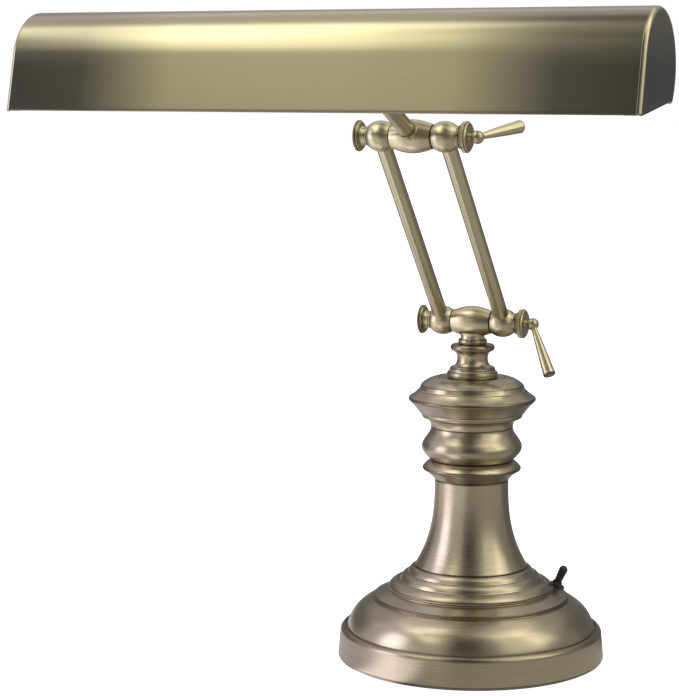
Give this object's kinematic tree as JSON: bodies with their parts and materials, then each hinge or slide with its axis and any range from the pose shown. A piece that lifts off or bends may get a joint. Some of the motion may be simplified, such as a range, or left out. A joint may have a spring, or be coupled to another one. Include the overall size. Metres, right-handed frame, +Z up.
{
  "type": "piano lamp",
  "caption": "Brass table lamp with a trough shade on a pair of arm tubes, two clamp knuckles, a swivel and a weighted turned base with a toggle switch.",
  "frame": {"origin": "centre of the underside of the felt pad, on the table", "axes": "+Z up along the column, -Y towards the player that the shade reaches over, X along the shade and both knuckles"},
  "size_m": [0.3556, 0.3466, 0.4037],
  "materials": {
    "antique_brass": "brushed and toned",
    "base_iron": "rough",
    "felt": "felt",
    "steel": "plated",
    "cable": "smooth",
    "black_plastic": "moulded",
    "black_metal": "satin black",
    "ceramic": "glazed",
    "lamp_brass": "plain",
    "bulb_glass": "frosted"
  },
  "bodies": {
    "base": {"felt_pad": "felt", "bottom_plate": "base_iron", "base_weight": "base_iron", "base_shell": "antique_brass", "flare_column": "antique_brass", "column_disc": "antique_brass", "column_bulb": "antique_brass", "column_cap": "antique_brass", "spool_neck": "antique_brass", "lamp_pipe": "steel", "pipe_washer": "steel", "pipe_nut": "steel", "column_cable": "cable", "cord_bushing": "black_plastic", "switch_body": "black_plastic", "switch_nut": "black_metal"},
    "toggle": {"switch_toggle": "black_metal"},
    "head": {"lower_barrel": "antique_brass", "swivel_screw": "steel"},
    "arms": {"arm_tube_left": "antique_brass", "arm_tube_right": "antique_brass", "arm_cable": "cable", "lower_eye_left": "antique_brass", "lower_eye_right": "antique_brass", "upper_eye_left": "antique_brass", "upper_eye_right": "antique_brass", "lower_cap_nut": "antique_brass", "upper_cap_nut": "antique_brass", "lower_ring": "antique_brass", "upper_ring": "antique_brass"},
    "lower_clamp": {"lower_clamp_screw": "antique_brass", "lower_knurled_collar": "antique_brass", "lower_lever": "antique_brass"},
    "upper_clamp": {"upper_clamp_screw": "antique_brass", "upper_knurled_collar": "antique_brass", "upper_lever": "antique_brass"},
    "shade": {"upper_barrel": "antique_brass", "shade_tube": "antique_brass", "shade_cable": "cable", "shade_saddle": "antique_brass", "socket_bracket": "steel", "socket_left": "ceramic", "socket_right": "ceramic", "bulb_base_left": "lamp_brass", "bulb_base_right": "lamp_brass", "bulb_left": "bulb_glass", "bulb_right": "bulb_glass", "shade_shell": "antique_brass", "shade_cap_left": "antique_brass", "shade_cap_right": "antique_brass"}
  },
  "joints": [
    {"name": "switch_throw", "type": "hinge", "parent": "base", "child": "toggle", "pos_m": [0.04672, 0.03521, 0.04458], "axis": [0.7462, 0.5623, -0.3564], "range_deg": [-26, 0]},
    {"name": "head_swivel", "type": "hinge", "parent": "base", "child": "head", "pos_m": [0, 0, 0.2154], "axis": [0, 0, 1], "range_deg": [-170, 170]},
    {"name": "lower_knuckle", "type": "hinge", "parent": "head", "child": "arms", "pos_m": [0, 0, 0.2154], "axis": [1, 0, 0], "range_deg": [-61, 38]},
    {"name": "upper_knuckle", "type": "hinge", "parent": "arms", "child": "shade", "pos_m": [0, -0.10537, 0.33408], "axis": [1, 0, 0], "range_deg": [-45, 60]},
    {"name": "lower_lever_turn", "type": "hinge", "parent": "arms", "child": "lower_clamp", "pos_m": [0, 0, 0.2154], "axis": [1, 0, 0], "range_deg": [-40, 50]},
    {"name": "upper_lever_turn", "type": "hinge", "parent": "arms", "child": "upper_clamp", "pos_m": [0, -0.10537, 0.33408], "axis": [1, 0, 0], "range_deg": [-40, 50]}
  ]
}
